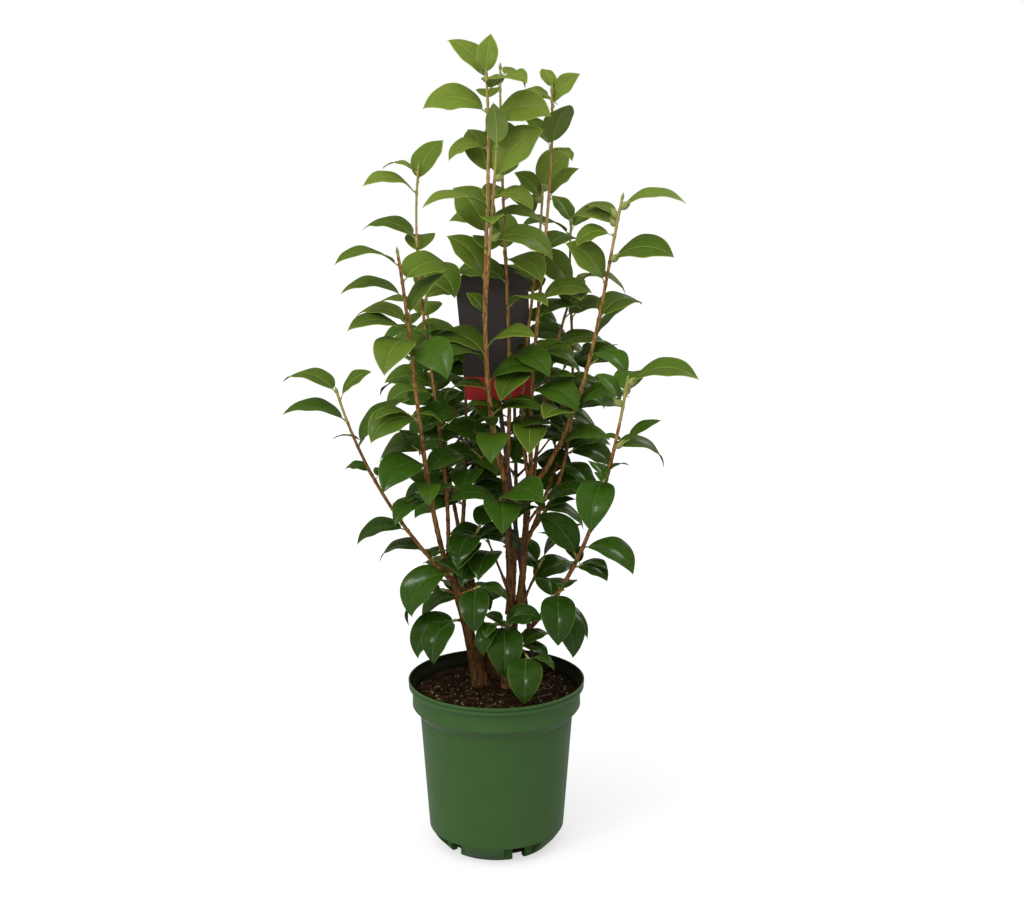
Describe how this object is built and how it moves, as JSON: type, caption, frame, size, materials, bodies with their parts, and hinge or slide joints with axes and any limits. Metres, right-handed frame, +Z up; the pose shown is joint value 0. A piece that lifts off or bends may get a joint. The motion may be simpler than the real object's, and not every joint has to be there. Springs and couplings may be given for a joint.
{
  "type": "potted camellia",
  "caption": "Young evergreen camellia in a round nursery pot, upright leafy shoots on forked stems, with a blank care tag.",
  "frame": {"origin": "centre of the pot's flat underside", "axes": "+Z up along the plant, -Y towards its front, +X to the right as seen from the front"},
  "size_m": [0.5081, 0.3812, 1.0397],
  "materials": {
    "pot_plastic": "matte moulded green",
    "potting_soil": "moist bark and peat with white grit",
    "tag_plastic": "satin charcoal sheet",
    "old_bark": "rough brown bark",
    "young_bark": "smooth cinnamon bark",
    "foliage": "glossy green leaves on cinnamon twigs"
  },
  "bodies": {
    "root": {"bough_back_centre": "young_bark", "bough_back_left": "young_bark", "bough_back_right": "young_bark", "bough_far_left": "young_bark", "bough_far_right": "young_bark", "bough_front_left": "young_bark", "bough_inner_left": "young_bark", "bough_inner_right": "young_bark", "bough_leader": "young_bark", "bough_leader_back": "young_bark", "bough_low_rear": "young_bark", "bough_low_rear_right": "young_bark", "bough_mid_right": "young_bark", "bough_outer_right": "young_bark", "bough_rear_right": "young_bark", "bough_tall_left": "young_bark", "bough_tall_right": "young_bark", "bough_thin_centre": "young_bark", "care_tag": "tag_plastic", "limb_centre": "old_bark", "limb_right": "old_bark", "pot": "pot_plastic", "soil": "potting_soil", "spray_back_centre": "foliage", "spray_back_left": "foliage", "spray_back_right": "foliage", "spray_far_left": "foliage", "spray_far_right": "foliage", "spray_front_left": "foliage", "spray_inner_left": "foliage", "spray_inner_right": "foliage", "spray_leader": "foliage", "spray_leader_back": "foliage", "spray_low_centre": "foliage", "spray_low_front": "foliage", "spray_low_left": "foliage", "spray_low_left_front": "foliage", "spray_low_left_middle": "foliage", "spray_low_left_upper": "foliage", "spray_low_middle": "foliage", "spray_low_rear": "foliage", "spray_low_rear_right": "foliage", "spray_low_right": "foliage", "spray_low_rise": "foliage", "spray_mid_right": "foliage", "spray_outer_right": "foliage", "spray_rear_right": "foliage", "spray_tall_left": "foliage", "spray_tall_right": "foliage", "spray_thin_centre": "foliage", "trunk_left": "old_bark", "trunk_left_back": "old_bark", "trunk_right": "old_bark"}
  },
  "joints": []
}
